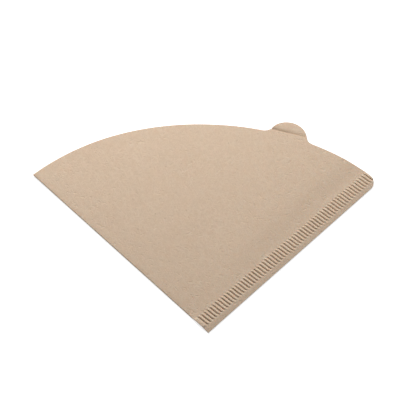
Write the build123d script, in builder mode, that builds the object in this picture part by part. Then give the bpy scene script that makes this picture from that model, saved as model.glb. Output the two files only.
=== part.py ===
"""Paper coffee filter for a cone dripper, folded flat as it comes out of its packet.

One sheet of unbleached filter paper is folded once, so that two plies lie on each
other, and both plies are crimped together along the side opposite the fold. A
pull tab stands out of the rim on the lower ply.

The sheet is drawn about its tip, with +Y up the middle line from the tip to the
rim, +X to the crimped seam and +Z up from the table. The finished part is then
moved so that the origin is the middle of its footprint, on the table.
"""

import os
from math import ceil, cos, pi, radians, sin, tan

from build123d import *

# Driving dimensions, in millimetres and degrees
slant_length = 120.0  # tip to rim, measured along the paper
wrap_angle = 86.7  # between the fold and the seam, with the filter lying flat
paper_thickness = 0.2
corner_radius = 6.0  # where the seam meets the rim

crimp_pitch = 1.86  # from one rib to the next
crimp_depth = 0.7  # trough to crest
crimp_outer_margin = 2.4  # plain paper left between the seam edge and the ribs
crimp_length = 6.4  # length of each rib, across the seam
crimp_ease = 0.9  # length over which a rib runs out into the plain paper
crimp_clearance = 0.4  # plain paper left round the crimped strip

closing_length = 3.0  # strip over which the lower ply climbs to the upper one

tab_radius = 9.5
tab_inset = 1.0  # centre of the tab's round, inside the rim
tab_angle = 19.3  # from the middle line towards the seam
tab_root_radius = 4.5
tab_crop_height = 2.0  # what the upper ply keeps of the tab, above the rim
tab_crop_radius = 1.2

# Heights of the plies above the table
wave_height = crimp_depth / 2
ply_gap = wave_height
upper_ply = paper_thickness + ply_gap
folded_height = upper_ply + paper_thickness
crimp_middle = wave_height + paper_thickness

# Directions in the plane of the paper
half_angle = radians(wrap_angle / 2)
along_seam = Vector(sin(half_angle), cos(half_angle), 0)
from_seam = Vector(-cos(half_angle), sin(half_angle), 0)
along_fold = Vector(-sin(half_angle), cos(half_angle), 0)
from_fold = Vector(cos(half_angle), sin(half_angle), 0)
seam_plane = Plane(origin=(0, 0, 0), x_dir=along_seam, z_dir=(0, 0, 1))
across_seam = Plane(origin=(0, 0, 0), x_dir=from_seam, z_dir=along_seam)
across_fold = Plane(origin=(0, 0, 0), x_dir=from_fold, z_dir=-along_fold)
reach = slant_length + tab_radius + corner_radius

# The crimped strip, in distances along the seam and inwards from it
crimp_outer = crimp_outer_margin
crimp_inner = crimp_outer + crimp_length
join_line = crimp_inner + crimp_clearance
flat_line = join_line + closing_length
fold_at_crimp = max(crimp_inner / tan(radians(wrap_angle)), 0)
crimp_start = fold_at_crimp + folded_height / 2 + crimp_clearance
rib_count = ceil((slant_length - crimp_start) / crimp_pitch)
crimp_end = crimp_start + rib_count * crimp_pitch


# Outline of one ply lying flat: a sector with its seam corner rounded, and the tab
tab_direction = Vector(sin(radians(tab_angle)), cos(radians(tab_angle)), 0)
tab_plane = Plane(origin=(0, 0, 0), x_dir=(tab_direction.Y, -tab_direction.X, 0), z_dir=(0, 0, 1))

with BuildSketch() as sector:
    with BuildLine():
        rim = CenterArc((0, 0), slant_length, 90 - wrap_angle / 2, wrap_angle)
        Line((0, 0), rim @ 0)
        Line(rim @ 1, (0, 0))
    make_face()
    fillet(sector.vertices().sort_by(Axis.X)[-1], corner_radius)

with BuildSketch() as lower_outline:
    add(sector.sketch)
    tab_middle = tab_direction * (slant_length - tab_inset)
    with Locations((tab_middle.X, tab_middle.Y)):
        Circle(tab_radius)
    tab_roots = lower_outline.vertices().sort_by_distance(tab_direction * slant_length)[:2]
    fillet(tab_roots, tab_root_radius)

with BuildSketch(tab_plane) as above_crop:
    with Locations((0, slant_length + tab_crop_height)):
        Rectangle(reach, reach, align=(Align.CENTER, Align.MIN))

with BuildSketch() as upper_outline:
    add(lower_outline.sketch)
    add(above_crop.sketch, mode=Mode.SUBTRACT)
    crop_middle = tab_direction * (slant_length + tab_crop_height)
    crop_corners = upper_outline.vertices().sort_by_distance(crop_middle)[:2]
    fillet(crop_corners, tab_crop_radius)


# Space between the plies, open at the rim and closed by the fold and the crimp
with BuildPart() as pocket:
    with BuildSketch(across_fold):
        with Locations((reach, folded_height / 2)):
            SlotOverall(2 * reach - 2 * paper_thickness, ply_gap)
    extrude(amount=reach, both=True)
    with BuildSketch(across_seam):
        Polygon(
            (join_line - closing_length, upper_ply + ply_gap),
            (flat_line + closing_length, paper_thickness - ply_gap),
            (reach, paper_thickness - ply_gap),
            (reach, upper_ply + ply_gap),
            align=None,
        )
    extrude(amount=reach, both=True, mode=Mode.INTERSECT)


# One rib of both plies, which runs across the seam and eases out at both ends
rib_sections = (
    (crimp_outer, 0.0),
    (crimp_outer + crimp_ease, wave_height),
    (crimp_inner - crimp_ease, wave_height),
    (crimp_inner, 0.0),
)
with BuildPart() as rib:
    for distance, height in rib_sections:
        section_plane = Plane(origin=from_seam * distance, x_dir=along_seam, z_dir=-from_seam)
        with BuildSketch(section_plane):
            wave = [(crimp_start + n * crimp_pitch / 8, height * sin(n * pi / 4)) for n in range(9)]
            with BuildLine():
                top = Spline([(place, crimp_middle + paper_thickness + rise) for place, rise in wave])
                bottom = Spline([(place, crimp_middle - paper_thickness + rise) for place, rise in wave])
                Line(top @ 0, bottom @ 0)
                Line(top @ 1, bottom @ 1)
            make_face()
    loft(ruled=True)

# The crimped strip, cut off with the paper at its rounded corner
with BuildPart() as crimp:
    with Locations([Location(along_seam * number * crimp_pitch) for number in range(rib_count)]):
        add(rib.part)
    with BuildSketch():
        add(sector.sketch)
    extrude(amount=reach, both=True, mode=Mode.INTERSECT)


# The folded sheet
with BuildPart() as filter_paper:
    with BuildSketch(across_fold):
        with Locations((reach, folded_height / 2)):
            SlotOverall(2 * reach, folded_height)
    extrude(amount=reach, both=True)
    with BuildSketch():
        add(lower_outline.sketch)
    extrude(amount=folded_height, mode=Mode.INTERSECT)
    with BuildSketch(Plane.XY.offset(paper_thickness)):
        add(lower_outline.sketch)
        add(upper_outline.sketch, mode=Mode.SUBTRACT)
    extrude(amount=folded_height, mode=Mode.SUBTRACT)
    add(pocket.part, mode=Mode.SUBTRACT)
    with BuildSketch(across_seam):
        Polygon(
            (-reach, -wave_height),
            (flat_line + closing_length, -wave_height),
            (join_line, wave_height),
            (-reach, wave_height),
            align=None,
        )
    extrude(amount=reach, both=True, mode=Mode.SUBTRACT)
    with BuildSketch(seam_plane):
        with Locations((crimp_start, crimp_outer)):
            Rectangle(crimp_end - crimp_start, crimp_length, align=(Align.MIN, Align.MIN))
    extrude(amount=folded_height, mode=Mode.SUBTRACT)
    add(crimp.part)

footprint = filter_paper.part.bounding_box()
filter_paper.part.locate(Location((-footprint.center().X, -footprint.center().Y, 0)))
filter_paper.part.label = "filter_paper"

os.makedirs("parts", exist_ok=True)
export_step(filter_paper.part, "parts/filter_paper.step")
print("ribs", rib_count, "crimped from", round(crimp_start, 2), "to", round(crimp_end, 2))
print("volume", round(filter_paper.part.volume, 1), "solids", len(filter_paper.part.solids()))
print("middle of footprint from the tip", footprint.center())
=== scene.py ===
"""Paper coffee filter, folded flat: the look of its one sheet, and a plain studio.

The sheet is drawn flat about its tip, folded in half, crimped along its seam and
laid on the floor, in metres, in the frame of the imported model.
"""

import math
import random

import bpy
from bpy.props import FloatProperty, FloatVectorProperty, IntProperty, PointerProperty
from bpy.types import Operator, Panel, PropertyGroup
from mathutils import Matrix, Vector, noise
from mathutils.geometry import delaunay_2d_cdt


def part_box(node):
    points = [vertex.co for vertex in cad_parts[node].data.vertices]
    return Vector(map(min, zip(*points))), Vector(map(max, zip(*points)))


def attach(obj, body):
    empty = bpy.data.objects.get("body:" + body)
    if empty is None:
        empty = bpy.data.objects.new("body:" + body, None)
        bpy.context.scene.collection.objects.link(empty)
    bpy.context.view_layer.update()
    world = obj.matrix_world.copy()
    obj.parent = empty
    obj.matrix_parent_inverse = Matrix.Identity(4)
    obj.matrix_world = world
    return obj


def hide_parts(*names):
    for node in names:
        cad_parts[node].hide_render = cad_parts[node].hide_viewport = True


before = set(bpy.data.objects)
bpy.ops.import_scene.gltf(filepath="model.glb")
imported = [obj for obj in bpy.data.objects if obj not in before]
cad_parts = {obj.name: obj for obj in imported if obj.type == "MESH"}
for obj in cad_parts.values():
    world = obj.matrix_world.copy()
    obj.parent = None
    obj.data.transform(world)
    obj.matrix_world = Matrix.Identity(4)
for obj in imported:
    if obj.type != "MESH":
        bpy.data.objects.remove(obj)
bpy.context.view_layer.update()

bl_info = {
    "name": "Paper Coffee Filter",
    "version": (1, 0, 0),
    "blender": (4, 5, 0),
    "location": "View3D > Sidebar > Coffee Filter",
    "description": "Folds and crimps a flat paper coffee filter and sets it in a plain studio",
    "category": "Add Mesh",
}

MM = 0.001
PAPER_NODE = "filter_paper"
PAPER_SLOT = "kraft_filter_paper"

# No two ribs are pressed quite alike
RIB_SEED = 7
RIB_HEIGHT_SPREAD = 0.07
RIB_SHIFT_SPREAD = 0.16 * MM
# The skew brings each crest forward by this share of itself
CREST_SHIFT = 0.9

# The plies bow and cockle towards the rim. The blend is a strip beside the crimp in which
# that sets in, and the lower bow is the lower ply's share of the upper one's.
MOUTH_BLEND = 12 * MM
LOWER_BOW = 0.12
COCKLE_HEIGHT = 0.1 * MM
COCKLE_WIDTH = 22 * MM

# The lower tab bends up from just below the upper one's cut
TAB_BEND_LEAD = 0.3 * MM
TAB_BEND_LENGTH = 0.8 * MM

# Spacing and rows of the mesh
FINE_GRID = 0.8 * MM
TIP_STEP = 1.2 * MM
RIM_STEP = 1.0 * MM
CURVE_STEP = 0.3 * MM
RUN_OUT_ROWS = 5
RIB_ROW_STEP = 0.9 * MM
BEND_STEPS = 8
SHARP_ANGLE = math.radians(60)

# A rib's slope is measured over this part of a pitch, to either side
SLOPE_PARTS = 40

# Sockets of a colour mix: its factor, its two colours and, among the outputs, their blend
MIX_FACTOR, MIX_FIRST, MIX_SECOND, MIX_BLEND = 0, 6, 7, 2

# The floor's half width, in widths of the filter
FLOOR_WIDTHS = 20


def linear(hex_colour):
    """Turn an sRGB hex colour into linear red, green and blue."""
    channels = [int(hex_colour[place : place + 2], 16) / 255 for place in (1, 3, 5)]
    return tuple(
        channel / 12.92 if channel <= 0.04045 else ((channel + 0.055) / 1.055) ** 2.4
        for channel in channels
    )


def ease(value):
    """Go smoothly from 0 to 1 as the value does."""
    value = min(max(value, 0.0), 1.0)
    return value * value * (3 - 2 * value)


# ---------------------------------------------------------------- settings


class PaperSizes(PropertyGroup):
    """The sheet's sizes, measured on the paper."""

    slant: FloatProperty(
        name="Slant", description="From the tip to the rim", default=120 * MM, min=0.05, unit="LENGTH"
    )
    wrap: FloatProperty(
        name="Wrap",
        description="Angle between the fold and the seam",
        default=math.radians(86.7),
        subtype="ANGLE",
    )
    thickness: FloatProperty(
        name="Thickness", description="Thickness of the paper", default=0.2 * MM, precision=5, unit="LENGTH"
    )
    ply_gap: FloatProperty(
        name="Ply gap", description="Space between the plies", default=0.35 * MM, precision=5, unit="LENGTH"
    )
    corner_radius: FloatProperty(
        name="Corner", description="Radius where the seam meets the rim", default=6 * MM, unit="LENGTH"
    )
    tab_radius: FloatProperty(
        name="Tab radius", description="Radius of the pull tab", default=9.5 * MM, unit="LENGTH"
    )
    tab_inset: FloatProperty(
        name="Tab inset", description="The tab's middle, inside the rim", default=1 * MM, unit="LENGTH"
    )
    tab_root: FloatProperty(
        name="Tab root", description="Radius where the tab meets the rim", default=4.5 * MM, unit="LENGTH"
    )
    tab_turn: FloatProperty(
        name="Tab turn",
        description="Angle of the tab from the middle line, towards the seam",
        default=math.radians(19.3),
        subtype="ANGLE",
    )
    crop_height: FloatProperty(
        name="Crop height",
        description="What the upper ply keeps of the tab, above the rim",
        default=2 * MM,
        unit="LENGTH",
    )
    crop_lean: FloatProperty(
        name="Crop lean",
        description="Lean of the straight cut across the upper tab",
        default=math.radians(4),
        subtype="ANGLE",
    )
    mouth_lift: FloatProperty(
        name="Mouth lift",
        description="How far the upper ply's rim bows off the lower one",
        default=0.3 * MM,
        unit="LENGTH",
    )
    mouth_ripple: FloatProperty(
        name="Mouth ripple",
        description="Height of the two soft humps along the upper rim",
        default=0.35 * MM,
        unit="LENGTH",
    )
    tab_curl: FloatProperty(
        name="Tab curl",
        description="How far the lower tab bends up at the upper one's cut",
        default=0.85 * MM,
        unit="LENGTH",
    )
    tab_rise: FloatProperty(
        name="Tab rise", description="Slope of the lower tab beyond its bend", default=0.02
    )
    grid: FloatProperty(
        name="Grid", description="Spacing of the mesh on plain paper", default=1.7 * MM, unit="LENGTH"
    )


class CrimpSizes(PropertyGroup):
    """The ribs pressed into both plies along the seam."""

    pitch: FloatProperty(
        name="Pitch", description="From one rib to the next", default=1.86 * MM, precision=5, unit="LENGTH"
    )
    depth: FloatProperty(
        name="Depth", description="Trough to crest", default=0.57 * MM, precision=5, unit="LENGTH"
    )
    skew: FloatProperty(
        name="Skew", description="How much steeper a rib is on the tip's side than on the rim's", default=0.45
    )
    start: FloatProperty(
        name="Start", description="First rib, from the tip along the seam", default=1.28 * MM, unit="LENGTH"
    )
    margin: FloatProperty(
        name="Margin", description="Plain paper outside the ribs", default=2.4 * MM, unit="LENGTH"
    )
    length: FloatProperty(
        name="Length", description="Length of each rib, across the seam", default=6.4 * MM, unit="LENGTH"
    )
    drift: FloatProperty(
        name="Drift",
        description="How much nearer the edge the ribs lie at the rim than at the tip",
        default=0.7 * MM,
        unit="LENGTH",
    )
    run_out: FloatProperty(
        name="Run-out",
        description="Length over which a rib fades into plain paper",
        default=0.9 * MM,
        unit="LENGTH",
    )
    closing: FloatProperty(
        name="Closing",
        description="Strip over which the lower ply climbs to the upper one",
        default=3.4 * MM,
        unit="LENGTH",
    )
    flange_droop: FloatProperty(
        name="Flange droop",
        description="How far the plain edge outside the ribs hangs down",
        default=0.28 * MM,
        precision=5,
        unit="LENGTH",
    )
    facets: IntProperty(name="Facets", description="Mesh columns to each rib", default=16, min=6)


class PaperLook(PropertyGroup):
    """Colours of unbleached filter paper."""

    pulp: FloatVectorProperty(
        name="Pulp",
        description="Colour of most of the sheet",
        subtype="COLOR",
        default=linear("#D3B99F"),
        min=0,
        max=1,
    )
    pale_pulp: FloatVectorProperty(
        name="Pale pulp",
        description="Colour where fibres lie thin",
        subtype="COLOR",
        default=linear("#DCC4AB"),
        min=0,
        max=1,
    )
    fleck: FloatVectorProperty(
        name="Fleck",
        description="Colour of the darker bark flecks",
        subtype="COLOR",
        default=linear("#A98B6E"),
        min=0,
        max=1,
    )


class StudioSettings(PropertyGroup):
    """Floor, light and camera."""

    azimuth: FloatProperty(
        name="Azimuth",
        description="Turn of the camera about the filter",
        default=math.radians(-3.385),
        subtype="ANGLE",
    )
    elevation: FloatProperty(
        name="Elevation",
        description="Height of the camera above the floor",
        default=math.radians(53.243),
        subtype="ANGLE",
    )
    roll: FloatProperty(
        name="Roll", description="Tilt of the picture", default=math.radians(3.753), subtype="ANGLE"
    )
    distance: FloatProperty(
        name="Distance", description="Camera to the point it aims at", default=0.9337, unit="LENGTH"
    )
    lens: FloatProperty(name="Lens", description="Focal length in millimetres", default=178.09)
    aim_ahead: FloatProperty(
        name="Aim ahead", description="Aim, beyond the middle of the filter", default=13.3 * MM, unit="LENGTH"
    )
    aim_side: FloatProperty(
        name="Aim side", description="Aim, to the right of the middle", default=-1.9 * MM, unit="LENGTH"
    )
    key_power: FloatProperty(
        name="Key power", description="Power of the large lamp", default=6.3, unit="POWER"
    )
    key_azimuth: FloatProperty(
        name="Key azimuth",
        description="Turn of the large lamp about the filter",
        default=math.radians(-165),
        subtype="ANGLE",
    )
    key_elevation: FloatProperty(
        name="Key elevation",
        description="Height of the large lamp above the floor",
        default=math.radians(32),
        subtype="ANGLE",
    )
    key_distance: FloatProperty(
        name="Key distance", description="Lamp to the middle of the filter", default=0.7, unit="LENGTH"
    )
    key_size: FloatProperty(
        name="Key size", description="Width of the large lamp", default=0.25, unit="LENGTH"
    )
    fill: FloatProperty(name="Fill", description="Strength of the room's even light", default=0.2)
    floor: FloatVectorProperty(
        name="Floor",
        description="Colour of the floor",
        subtype="COLOR",
        default=linear("#F4F4F4"),
        min=0,
        max=1,
    )
    floor_lift: FloatProperty(
        name="Floor lift", description="White added to the floor where it is seen", default=0.7
    )
    floor_drop: FloatProperty(
        name="Floor drop",
        description="Gap that keeps the floor clear of the paper",
        default=0.02 * MM,
        precision=5,
        unit="LENGTH",
    )


# ---------------------------------------------------------------- the sheet


class FlatSheet:
    """Outline and heights of the two plies.

    Places are (along, inward): along the seam from the tip, and inward from it.
    """

    def __init__(self, paper, crimp):
        self.paper = paper
        self.crimp = crimp
        self.middle = crimp.depth / 2 + paper.thickness
        self.fold_bulge = (paper.thickness + paper.ply_gap) / 2
        self.fold_inset = paper.thickness / 2 + self.fold_bulge
        self.first_crest = (math.pi / 2 - CREST_SHIFT * crimp.skew) / math.tau
        self.tab_angle = paper.wrap / 2 - paper.tab_turn
        corner_along = math.sqrt((paper.slant - paper.corner_radius) ** 2 - paper.corner_radius**2)
        self.corner = Vector((corner_along, paper.corner_radius))
        self.tab_out = self.direction(self.tab_angle)
        self.tab_across = Vector((self.tab_out.y, -self.tab_out.x))
        self.tab_middle = self.tab_out * (paper.slant - paper.tab_inset)
        randomness = random.Random(RIB_SEED)
        count = int(paper.slant / crimp.pitch) + 2
        spread = RIB_HEIGHT_SPREAD
        self.rib_height = [1 + randomness.uniform(-spread, spread) for _ in range(count)]
        spread = RIB_SHIFT_SPREAD
        self.rib_shift = [randomness.uniform(-spread, spread) for _ in range(count)]

    @staticmethod
    def direction(angle):
        """Unit vector at an angle from the seam."""
        return Vector((math.cos(angle), math.sin(angle)))

    @staticmethod
    def arc(centre, radius, start, end, step):
        """Points along an arc the short way round, without its last one."""
        sweep = (end - start + math.pi) % math.tau - math.pi
        count = max(2, math.ceil(abs(sweep) * radius / step))
        angles = [start + sweep * place / count for place in range(count)]
        return [centre + FlatSheet.direction(angle) * radius for angle in angles]

    @staticmethod
    def line(start, end, step):
        """Points along a line, without its last one."""
        count = max(1, math.ceil((end - start).length / step))
        return [start.lerp(end, place / count) for place in range(count)]

    def past_rim(self, point):
        """How far a point lies beyond the rim, measured the way the tab points."""
        return point.dot(self.tab_out) - self.paper.slant

    def fold_line(self):
        """Where a ply ends and the bend begins: its point at the rim, and its point near the tip."""
        wrap = self.paper.wrap
        inward = Vector((math.sin(wrap), -math.cos(wrap))) * self.fold_inset
        reach = math.sqrt(self.paper.slant**2 - self.fold_inset**2)
        near_tip = Vector((self.fold_inset / math.sin(wrap), 0))
        return self.direction(wrap) * reach + inward, near_tip

    def outline(self, cropped):
        """Corner points of a ply, counter-clockwise from the tip, and how many lie on the fold."""
        paper = self.paper
        rim_end, near_tip = self.fold_line()
        origin = Vector((0, 0))
        corner_foot = Vector((self.corner.x, 0))
        corner_angle = math.atan2(self.corner.y, self.corner.x)
        points = self.line(near_tip, corner_foot, TIP_STEP)
        points += self.arc(self.corner, paper.corner_radius, -math.pi / 2, corner_angle, CURVE_STEP)

        root_out = paper.slant + paper.tab_root
        tab_out = paper.slant - paper.tab_inset
        join = paper.tab_radius + paper.tab_root
        spread = math.acos((root_out**2 + tab_out**2 - join**2) / (2 * root_out * tab_out))
        first, last = self.tab_angle - spread, self.tab_angle + spread
        roots = [self.direction(first) * root_out, self.direction(last) * root_out]
        meets = [root - self.tab_middle for root in roots]
        angles = [math.atan2(meet.y, meet.x) for meet in meets]
        tab = self.arc(roots[0], paper.tab_root, first + math.pi, angles[0] + math.pi, CURVE_STEP)
        tab += self.arc(self.tab_middle, paper.tab_radius, angles[0], angles[1], CURVE_STEP)
        tab += self.arc(roots[1], paper.tab_root, angles[1] - math.pi, last - math.pi, CURVE_STEP)
        if cropped:
            tab = self.crop(tab)

        rim_angle = math.atan2(rim_end.y, rim_end.x)
        points += self.arc(origin, paper.slant, corner_angle, first, RIM_STEP)
        points += tab
        points += self.arc(origin, paper.slant, last, rim_angle, RIM_STEP)
        fold = self.line(rim_end, near_tip, RIM_STEP)
        return points + fold, len(fold)

    def crop(self, points):
        """Cut the tab straight across above the rim."""
        lean = math.tan(self.paper.crop_lean)

        def over(point):
            return self.past_rim(point) - self.paper.crop_height - point.dot(self.tab_across) * lean

        kept = []
        for place, point in enumerate(points):
            before = points[place - 1] if place else point
            if (over(before) > 0) != (over(point) > 0):
                kept.append(before.lerp(point, over(before) / (over(before) - over(point))))
            if over(point) <= 0:
                kept.append(point)
        return kept

    def room(self, point, cropped):
        """How far inside the ply's edges a point is; negative outside them."""
        paper = self.paper
        inside_rim = paper.slant - point.length
        inside_tab = paper.tab_radius - (point - self.tab_middle).length
        if cropped:
            inside_tab = min(inside_tab, paper.crop_height / 2 - self.past_rim(point))
        from_fold = point.x * math.sin(paper.wrap) - point.y * math.cos(paper.wrap)
        room = min(max(inside_rim, inside_tab), point.y, from_fold - self.fold_inset)
        if point.x > self.corner.x and point.y < self.corner.y:
            room = min(room, paper.corner_radius - (point - self.corner).length)
        return room

    def lattice(self, spacing, low, high, cropped):
        """Evenly staggered points inside a ply, between two distances from the seam."""
        row_height = spacing * math.sqrt(3) / 2
        rows = range(math.ceil(low / row_height), math.ceil(high / row_height))
        columns = range(int((self.paper.slant + self.paper.tab_radius) / spacing))
        for row in rows:
            for column in columns:
                point = Vector(((column + row % 2 / 2) * spacing, row * row_height))
                if self.room(point, cropped) > spacing / 2:
                    yield point

    def rib_rows(self):
        """Distances from the seam at which the ribs' mesh has a row."""
        crimp = self.crimp
        starts = [crimp.run_out * step / RUN_OUT_ROWS for step in range(RUN_OUT_ROWS + 1)]
        plateau = crimp.length - 2 * crimp.run_out
        count = math.ceil(plateau / RIB_ROW_STEP)
        middle = [crimp.run_out + plateau * step / count for step in range(1, count)]
        ends = [crimp.length - row for row in reversed(starts)]
        return [crimp.margin + row for row in starts + middle + ends]

    def points_inside(self, cropped):
        """Mesh points inside a ply: fine on the ribs and the tab, coarser on plain paper."""
        crimp = self.crimp
        step = crimp.pitch / crimp.facets
        first_row, last_row = crimp.margin, crimp.margin + crimp.length
        clear = 3 * step
        plain_from = last_row + crimp.closing + 2 * FINE_GRID
        points = []
        for column in range(-crimp.facets // 2, int((self.paper.slant - crimp.start) / step)):
            for row in self.rib_rows():
                point = Vector((crimp.start + column * step, row))
                if self.room(point, cropped) > step / 2:
                    points.append(point)
        points += self.lattice(FINE_GRID, FINE_GRID / 2, first_row - clear, cropped)
        points += self.lattice(FINE_GRID, last_row + clear, plain_from, cropped)
        for point in self.lattice(self.paper.grid, plain_from + FINE_GRID, self.paper.slant, cropped):
            if self.past_rim(point) < 0:
                points.append(point)
        for point in self.lattice(FINE_GRID, plain_from, self.paper.slant, cropped):
            if self.past_rim(point) > FINE_GRID:
                points.append(point)
        return points

    def wave(self, along, inward):
        """Height of the crimp's wave above its middle."""
        crimp = self.crimp
        turn = max((along - crimp.start) / crimp.pitch, self.first_crest)
        rib = min(max(int(turn), 0), len(self.rib_height) - 1)
        inward += crimp.drift * (along / self.paper.slant - 0.5)
        from_end = min(inward - crimp.margin, crimp.margin + crimp.length - inward)
        height = ease((from_end + self.rib_shift[rib]) / crimp.run_out)
        phase = turn * math.tau
        swell = crimp.depth / 2 * height * self.rib_height[rib]
        return swell * math.sin(phase + crimp.skew * math.sin(phase))

    def place(self, point, upper):
        """Where a flat point of a ply lies once the sheet is folded: along, inward and up."""
        paper, crimp = self.paper, self.crimp
        side = 1 if upper else -1
        step = crimp.pitch / SLOPE_PARTS
        slope = (self.wave(point.x + step, point.y) - self.wave(point.x - step, point.y)) / (2 * step)
        upright = 1 / math.sqrt(1 + slope * slope)
        offset = side * paper.thickness / 2
        along = point.x - slope * upright * offset
        up = self.middle + self.wave(point.x, point.y) + upright * offset

        join_line = crimp.margin + crimp.length
        beyond = point.y - join_line
        if not upper:
            up -= crimp.depth / 2 * ease(beyond / crimp.closing)
        if point.y < crimp.margin:
            up -= crimp.flange_droop * (1 - point.y / crimp.margin)

        angle = math.atan2(point.y, point.x)
        turn = math.pi * (1 - angle / paper.wrap)
        bow = paper.mouth_lift * math.sin(turn) + paper.mouth_ripple * math.sin(3 * turn)
        share = point.length / paper.slant * ease(beyond / MOUTH_BLEND)
        cockle = COCKLE_HEIGHT * (1 + noise.noise(Vector((point.x, point.y, 0)) / COCKLE_WIDTH))
        up += share * ((bow if upper else LOWER_BOW * bow) + cockle)
        past_bend = self.past_rim(point) - paper.crop_height + TAB_BEND_LEAD
        if not upper and past_bend > 0:
            up += paper.tab_curl * (1 - math.exp(-past_bend / TAB_BEND_LENGTH)) + paper.tab_rise * past_bend
        return Vector((along, point.y, up))


def triangles(outline, inside):
    """Join an outline and the points inside it into triangles, and say where the outline went."""
    loop = list(range(len(outline)))
    whole_hull, tolerance, with_sources = 0, 1e-7, True
    joined = delaunay_2d_cdt(outline + inside, [], [loop], whole_hull, tolerance, with_sources)
    vertices, _, faces, sources, _, fills = joined
    index = {source: place for place, names in enumerate(sources) for source in names}
    kept = [list(face) for face, fill in zip(faces, fills) if fill]
    return vertices, kept, [index[place] for place in loop]


def sheet_mesh(flat):
    """One continuous sheet, a single layer thick: upper ply, bend and lower ply."""
    vertices, faces, folds = [], [], []
    for upper in (True, False):
        outline, on_fold = flat.outline(cropped=upper)
        points, ply_faces, loop = triangles(outline, flat.points_inside(cropped=upper))
        start = len(vertices)
        vertices += [flat.place(point, upper) for point in points]
        for face in ply_faces:
            face = [start + corner for corner in face]
            faces.append(face if upper else face[::-1])
        folds.append([start + place for place in loop[-on_fold:] + loop[:1]])

    outward = Vector((-math.sin(flat.paper.wrap), math.cos(flat.paper.wrap), 0))
    rows = [folds[0]]
    for step in range(1, BEND_STEPS):
        turn = math.pi * step / BEND_STEPS
        row = []
        for high, low in zip(*folds):
            middle = (vertices[high] + vertices[low]) / 2
            half = (vertices[high] - vertices[low]) / 2
            row.append(len(vertices))
            vertices.append(middle + half * math.cos(turn) + outward * flat.fold_bulge * math.sin(turn))
        rows.append(row)
    rows.append(folds[1])
    for above, below in zip(rows, rows[1:]):
        for place in range(len(above) - 1):
            faces.append([above[place], below[place], below[place + 1], above[place + 1]])
    return vertices, faces


def add_node(tree, kind, values=None, links=None, **settings):
    """Add a node with its settings, socket values and links."""
    made = tree.nodes.new("ShaderNode" + kind)
    for name, value in settings.items():
        setattr(made, name, value)
    for socket, value in (values or {}).items():
        made.inputs[socket].default_value = value
    for socket, source in (links or {}).items():
        tree.links.new(source, made.inputs[socket])
    return made


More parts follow.
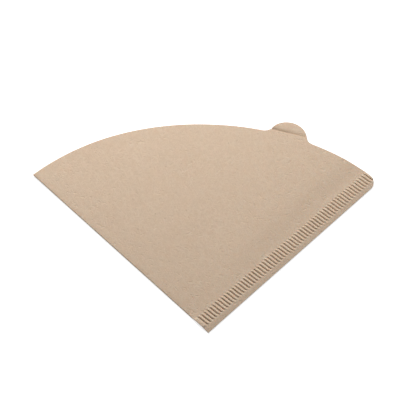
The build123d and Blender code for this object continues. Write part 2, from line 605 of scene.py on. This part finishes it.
def kraft_filter_paper(look):
    """Unbleached filter paper, wet laid from long softwood fibres and lightly creped.

    The eye sees a matt tan sheet with soft clouds where the pulp lies thicker, short
    fibres that cross one another, a few brown bark flecks, small creases, and no gloss.
    """
    material = bpy.data.materials.new(PAPER_SLOT)
    material.use_nodes = True
    tree = material.node_tree
    tree.nodes.clear()
    place = add_node(tree, "TexCoord").outputs["Object"]

    # Pulp lies in clouds about 5 mm wide
    clouds = add_node(
        tree, "TexNoise", {"Scale": 1 / (5 * MM), "Detail": 3, "Roughness": 0.6}, {"Vector": place}
    )
    # Fibres are 2 to 3 mm long. Real ones are 0.03 mm wide, drawn here 0.4 mm wide so that they show.
    fibres = []
    for turn in (0.4, 1.5, 2.6):
        turned = add_node(
            tree,
            "Mapping",
            {"Rotation": (0, 0, turn), "Scale": (1, 5.5, 1)},
            {"Vector": place},
            vector_type="TEXTURE",
        )
        fibres.append(
            add_node(
                tree,
                "TexNoise",
                {"Scale": 1 / (0.45 * MM), "Detail": 1.5, "Distortion": 0.4},
                {"Vector": turned.outputs["Vector"]},
            ).outputs["Fac"]
        )
    pair = add_node(tree, "Math", links={0: fibres[0], 1: fibres[1]}, operation="MAXIMUM")
    strands = add_node(tree, "Math", links={0: pair.outputs[0], 1: fibres[2]}, operation="MAXIMUM")
    felt = add_node(tree, "MapRange", {"From Min": 0.45, "From Max": 0.75}, {"Value": strands.outputs[0]})
    thin = add_node(
        tree,
        "Math",
        {1: 0.45},
        {0: clouds.outputs["Fac"], 2: felt.outputs["Result"]},
        operation="MULTIPLY_ADD",
    )
    thinness = add_node(tree, "MapRange", {"From Min": 0.3, "From Max": 1.1}, {"Value": thin.outputs[0]})
    pulp = add_node(
        tree,
        "Mix",
        {MIX_FIRST: (*look.pulp, 1), MIX_SECOND: (*look.pale_pulp, 1)},
        {MIX_FACTOR: thinness.outputs["Result"]},
        data_type="RGBA",
    )

    # Bark flecks are up to 0.7 mm wide and a centimetre or more apart
    specks = add_node(
        tree, "TexVoronoi", {"Scale": 1 / (6 * MM), "Randomness": 1.0}, {"Vector": place}, feature="F1"
    )
    speck = add_node(
        tree,
        "MapRange",
        {"From Min": 0.09, "From Max": 0.03, "To Max": 0.4},
        {"Value": specks.outputs["Distance"]},
    )
    speckled = add_node(
        tree,
        "Mix",
        {MIX_SECOND: (*look.fleck, 1)},
        {MIX_FACTOR: speck.outputs["Result"], MIX_FIRST: pulp.outputs[MIX_BLEND]},
        data_type="RGBA",
    )

    # Creping leaves fine ridges about 0.6 mm apart, no higher than a fibre is wide
    crepe = add_node(
        tree, "TexNoise", {"Scale": 1 / (0.6 * MM), "Detail": 2, "Roughness": 0.7}, {"Vector": place}
    )
    relief = add_node(
        tree,
        "Math",
        {1: 0.6},
        {0: felt.outputs["Result"], 2: crepe.outputs["Fac"]},
        operation="MULTIPLY_ADD",
    )
    # Handling leaves short creases, 1 to 3 mm long and up to half the paper's thickness deep
    handled = add_node(
        tree, "TexNoise", {"Scale": 1 / (2.4 * MM), "Detail": 1, "Distortion": 1.5}, {"Vector": place}
    )
    dents = add_node(
        tree,
        "MapRange",
        {"From Min": 0.62, "From Max": 0.74, "To Max": 2.5},
        {"Value": handled.outputs["Fac"]},
        interpolation_type="SMOOTHSTEP",
    )
    height = add_node(
        tree, "Math", links={0: relief.outputs[0], 1: dents.outputs["Result"]}, operation="SUBTRACT"
    )
    bump = add_node(
        tree, "Bump", {"Strength": 0.35, "Distance": 0.12 * MM}, {"Height": height.outputs[0]}
    )
    roughness = add_node(
        tree, "MapRange", {"To Min": 0.96, "To Max": 0.86}, {"Value": felt.outputs["Result"]}
    )
    paper = add_node(
        tree,
        "BsdfPrincipled",
        {
            "IOR": 1.47,
            "Sheen Weight": 0.06,
            "Sheen Roughness": 0.6,
            "Subsurface Weight": 0.2,
            "Subsurface Radius": (1.0, 0.6, 0.4),
            "Subsurface Scale": 0.4 * MM,
        },
        {
            "Base Color": speckled.outputs[MIX_BLEND],
            "Roughness": roughness.outputs["Result"],
            "Normal": bump.outputs["Normal"],
        },
    )
    add_node(tree, "OutputMaterial", links={"Surface": paper.outputs["BSDF"]})
    return material


def in_view(tree):
    """1 for the rays that show a thing to the camera, 0 for those that light other things."""
    rays = add_node(tree, "LightPath").outputs
    direct = add_node(
        tree, "Math", links={0: rays["Is Camera Ray"], 1: rays["Is Glossy Ray"]}, operation="MAXIMUM"
    )
    seen = add_node(
        tree, "Math", links={0: direct.outputs[0], 1: rays["Is Transmission Ray"]}, operation="MAXIMUM"
    )
    return seen.outputs[0]


def painted_board(studio):
    """Board with a rolled coat of matt white paint.

    The eye sees an even white ground, with no gloss, that keeps the filter's shadow.
    """
    material = bpy.data.materials.new("painted_board")
    material.use_nodes = True
    tree = material.node_tree
    tree.nodes.clear()
    paint = add_node(tree, "BsdfDiffuse", {"Color": (*studio.floor, 1), "Roughness": 0.5})
    lift = add_node(tree, "Math", {1: studio.floor_lift}, {0: in_view(tree)}, operation="MULTIPLY")
    glow = add_node(tree, "Emission", links={"Strength": lift.outputs[0]})
    both = add_node(tree, "AddShader", links={0: paint.outputs[0], 1: glow.outputs[0]})
    add_node(tree, "OutputMaterial", links={"Surface": both.outputs[0]})
    return material


def room_light(studio):
    """Even light from all round, behind a backdrop that is seen as white."""
    world = bpy.data.worlds.new("room")
    world.use_nodes = True
    tree = world.node_tree
    tree.nodes.clear()
    strength = add_node(tree, "MapRange", {"To Min": studio.fill, "To Max": 1.0}, {"Value": in_view(tree)})
    light = add_node(tree, "Background", links={"Strength": strength.outputs["Result"]})
    add_node(tree, "OutputWorld", links={"Surface": light.outputs[0]})
    return world


# ---------------------------------------------------------------- operators


def show(name, data):
    """Put a mesh, a lamp or a camera into the scene under a name."""
    thing = bpy.data.objects.new(name, data)
    bpy.context.scene.collection.objects.link(thing)
    return thing


def away_from_filter(azimuth, elevation):
    """Direction in which a thing stands, by its turn about the filter and its height."""
    level = math.cos(elevation)
    return Vector((math.sin(azimuth) * level, -math.cos(azimuth) * level, math.sin(elevation)))


class FILTER_OT_fold_sheet(Operator):
    """Cut the sheet, fold it in half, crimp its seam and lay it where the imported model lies"""

    bl_idname = "coffee_filter.fold_sheet"
    bl_label = "Fold and Crimp the Sheet"

    def execute(self, context):
        paper = context.scene.filter_paper_sizes
        crimp = context.scene.filter_crimp_sizes
        low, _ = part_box(PAPER_NODE)
        half = paper.wrap / 2
        tip = Vector((low[0] + paper.slant * math.sin(half), low[1], 0))
        along_seam = Vector((math.sin(half), math.cos(half), 0))
        from_seam = Vector((-math.cos(half), math.sin(half), 0))

        vertices, faces = sheet_mesh(FlatSheet(paper, crimp))
        mesh = bpy.data.meshes.new("coffee_filter_sheet")
        laid = [
            tip + along_seam * point.x + from_seam * point.y + Vector((0, 0, point.z)) for point in vertices
        ]
        mesh.from_pydata(laid, [], faces)
        mesh.validate()
        sheet = show("coffee_filter_sheet", mesh)

        solidify = sheet.modifiers.new("thickness", "SOLIDIFY")
        solidify.thickness = paper.thickness
        solidify.offset = 0
        depsgraph = context.evaluated_depsgraph_get()
        thick = bpy.data.meshes.new_from_object(sheet.evaluated_get(depsgraph))
        sheet.modifiers.clear()
        sheet.data = thick
        thick.shade_smooth()
        thick.set_sharp_from_angle(angle=SHARP_ANGLE)
        thick.materials.append(kraft_filter_paper(context.scene.filter_paper_look))

        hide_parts(PAPER_NODE)
        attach(sheet, "root")
        return {"FINISHED"}


class FILTER_OT_set_studio(Operator):
    """Set the floor, the lamp and the camera round the filter"""

    bl_idname = "coffee_filter.set_studio"
    bl_label = "Set the Studio"

    def execute(self, context):
        studio = context.scene.filter_studio
        low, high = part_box(PAPER_NODE)

        floor_mesh = bpy.data.meshes.new("floor")
        reach = FLOOR_WIDTHS * (high[0] - low[0])
        corners = [(-reach, -reach, 0), (reach, -reach, 0), (reach, reach, 0), (-reach, reach, 0)]
        floor_mesh.from_pydata(corners, [], [(0, 1, 2, 3)])
        floor_mesh.materials.append(painted_board(studio))
        floor = show("floor", floor_mesh)
        floor.location.z = -studio.floor_drop

        context.scene.world = room_light(studio)
        lamp = bpy.data.lights.new("key", "AREA")
        lamp.shape = "DISK"
        lamp.size = studio.key_size
        lamp.energy = studio.key_power
        key = show("key", lamp)
        away = away_from_filter(studio.key_azimuth, studio.key_elevation)
        key.location = away * studio.key_distance
        key.rotation_euler = away.to_track_quat("Z", "Y").to_euler()

        lens = bpy.data.cameras.new("camera")
        lens.lens = studio.lens
        camera = show("camera", lens)
        back = away_from_filter(studio.azimuth, studio.elevation)
        right = Vector((0, 0, 1)).cross(back).normalized()
        upright = Matrix((right, back.cross(right), back)).transposed().to_4x4()
        aim = Vector((studio.aim_side, studio.aim_ahead, high[2] / 2))
        camera.matrix_world = (
            Matrix.Translation(aim + back * studio.distance) @ upright @ Matrix.Rotation(studio.roll, 4, "Z")
        )
        context.scene.camera = camera
        context.scene.view_settings.view_transform = "Standard"
        return {"FINISHED"}


class FILTER_PT_panel(Panel):
    """Lists the filter's sizes, colours and steps"""

    bl_idname = "FILTER_PT_panel"
    bl_label = "Paper Coffee Filter"
    bl_space_type = "VIEW_3D"
    bl_region_type = "UI"
    bl_category = "Coffee Filter"

    def draw(self, context):
        scene = context.scene
        groups = (
            ("Sheet", scene.filter_paper_sizes),
            ("Crimp", scene.filter_crimp_sizes),
            ("Paper", scene.filter_paper_look),
            ("Studio", scene.filter_studio),
        )
        for title, group in groups:
            box = self.layout.box()
            box.label(text=title)
            for name in group.__annotations__:
                box.prop(group, name)
        for operator in OPERATORS:
            self.layout.operator(operator.bl_idname)


OPERATORS = (FILTER_OT_fold_sheet, FILTER_OT_set_studio)
SETTINGS = {
    "filter_paper_sizes": PaperSizes,
    "filter_crimp_sizes": CrimpSizes,
    "filter_paper_look": PaperLook,
    "filter_studio": StudioSettings,
}
CLASSES = (*SETTINGS.values(), *OPERATORS, FILTER_PT_panel)


def register():
    for each in CLASSES:
        bpy.utils.register_class(each)
    for name, group in SETTINGS.items():
        setattr(bpy.types.Scene, name, PointerProperty(type=group))


def unregister():
    for name in SETTINGS:
        delattr(bpy.types.Scene, name)
    for each in reversed(CLASSES):
        bpy.utils.unregister_class(each)


def main():
    """Make the filter and its studio."""
    register()
    bpy.ops.coffee_filter.fold_sheet()
    bpy.ops.coffee_filter.set_studio()


if __name__ == "__main__":
    main()
